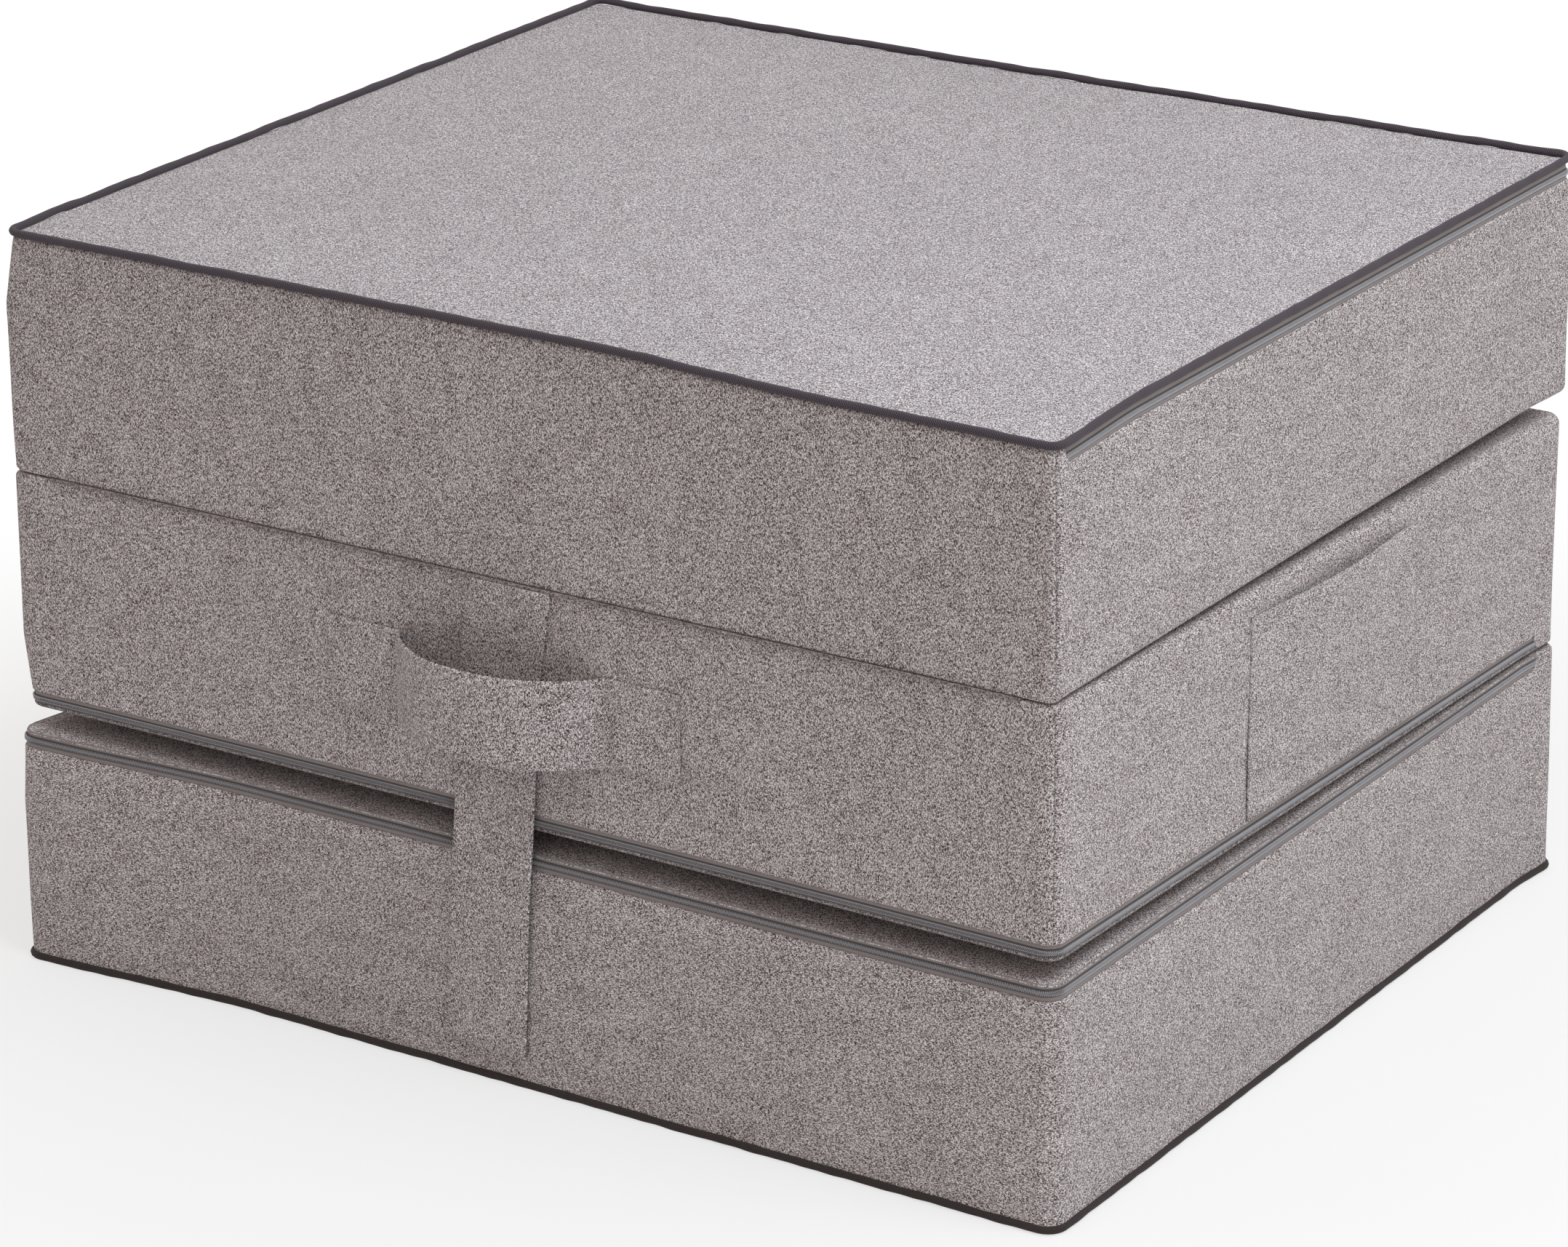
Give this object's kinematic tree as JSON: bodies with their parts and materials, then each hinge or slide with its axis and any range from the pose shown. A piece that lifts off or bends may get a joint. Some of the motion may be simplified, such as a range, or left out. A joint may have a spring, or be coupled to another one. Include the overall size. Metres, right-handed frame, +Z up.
{
  "type": "folding chair bed",
  "caption": "Chair bed of upholstered foam blocks hinged by their covers, folding in a zigzag into a seat, with zip-off faces, a carry handle, a closing strap and a side pocket.",
  "frame": {"origin": "centre of the bottom block's underside, on the floor", "axes": "+X along the length, to the side with the pocket; -Y to the front with the handle and the strap; +Z up"},
  "size_m": [0.8125, 0.7115, 0.5222],
  "materials": {
    "foam": "matt, open-celled",
    "side_cloth": "matt, woven in light and dark yarns",
    "top_cloth": "matt, woven in light and dark yarns",
    "base_cloth": "matt, close woven",
    "charcoal_piping": "matt, twill cover over a cord",
    "dark_piping": "matt, twill cover over a cord",
    "zip_tape": "matt, fine herringbone tape",
    "zip_coil": "satin",
    "zip_metal": "satin",
    "strap_cloth": "matt, woven in light and dark yarns, doubled and stitched",
    "loop_pile": "matt, looped pile",
    "hook_tape": "matt, fine hooks"
  },
  "bodies": {
    "bottom_block": {"bottom_foam": "foam", "bottom_cover_body": "side_cloth", "bottom_cover_lid": "side_cloth", "bottom_base_panel": "base_cloth", "bottom_piping": "dark_piping", "bottom_zip_tape_body_side": "zip_tape", "bottom_zip_tape_lid_side": "zip_tape", "bottom_zip_coil_body_side": "zip_coil", "bottom_zip_coil_lid_side": "zip_coil", "back_seam_strip": "side_cloth", "lower_strap": "strap_cloth", "loop_patch": "loop_pile"},
    "middle_block": {"middle_foam": "foam", "middle_cover_body": "side_cloth", "middle_cover_lid": "side_cloth", "middle_zip_tape_body_side": "zip_tape", "middle_zip_tape_lid_side": "zip_tape", "middle_zip_coil_body_side": "zip_coil", "middle_zip_coil_lid_side": "zip_coil", "front_seam_strip": "side_cloth", "carry_handle": "strap_cloth", "side_pocket": "side_cloth", "closing_strap": "strap_cloth"},
    "top_block": {"top_foam": "foam", "top_cover_body": "side_cloth", "top_cover_lid": "top_cloth", "top_piping": "charcoal_piping", "top_zip_tape_body_side": "zip_tape", "top_zip_tape_lid_side": "zip_tape", "top_zip_coil_body_side": "zip_coil", "top_zip_coil_lid_side": "zip_coil"},
    "free_strap_tail": {"strap_tail": "strap_cloth", "hook_patch": "hook_tape"},
    "bottom_slider": {"bottom_zip_slider": "zip_metal"},
    "bottom_pull": {"bottom_zip_pull": "zip_metal"},
    "middle_slider": {"middle_zip_slider": "zip_metal"},
    "middle_pull": {"middle_zip_pull": "zip_metal"},
    "top_slider": {"top_zip_slider": "zip_metal"},
    "top_pull": {"top_zip_pull": "zip_metal"}
  },
  "joints": [
    {"name": "mid_fold", "type": "hinge", "parent": "bottom_block", "child": "middle_block", "pos_m": [0, 0.3351, 0.167], "axis": [-1, 0, 0], "range_deg": [0, 178.88]},
    {"name": "top_fold", "type": "hinge", "parent": "middle_block", "child": "top_block", "pos_m": [0, -0.33171, 0.3476], "axis": [1, 0, 0], "range_deg": [0, 178.88], "deforming": ["carry_handle"]},
    {"name": "strap_release", "type": "hinge", "parent": "middle_block", "child": "free_strap_tail", "pos_m": [-0.01474, -0.33497, 0.17554], "axis": [-0.9971, 0, 0.0767], "range_deg": [0, 60]},
    {"name": "bottom_zip", "type": "slide", "parent": "bottom_block", "child": "bottom_slider", "axis": [0, -1, 0], "range_m": [0, 0.58]},
    {"name": "middle_zip", "type": "slide", "parent": "middle_block", "child": "middle_slider", "axis": [0, -0.9998, 0.0194], "range_m": [0, 0.56]},
    {"name": "top_zip", "type": "slide", "parent": "top_block", "child": "top_slider", "axis": [0, 1, 0], "range_m": [0, 0.58]},
    {"name": "bottom_pull_swing", "type": "hinge", "parent": "bottom_slider", "child": "bottom_pull", "pos_m": [-0.40365, 0.2925, 0.1583], "axis": [0, 1, 0], "range_deg": [0, 110]},
    {"name": "middle_pull_swing", "type": "hinge", "parent": "middle_slider", "child": "middle_pull", "pos_m": [-0.40365, 0.27068, 0.17695], "axis": [0, 0.9998, -0.0194], "range_deg": [0, 110]},
    {"name": "top_pull_swing", "type": "hinge", "parent": "top_slider", "child": "top_pull", "pos_m": [-0.40365, -0.28912, 0.5047], "axis": [0, 1, 0], "range_deg": [0, 110]}
  ]
}
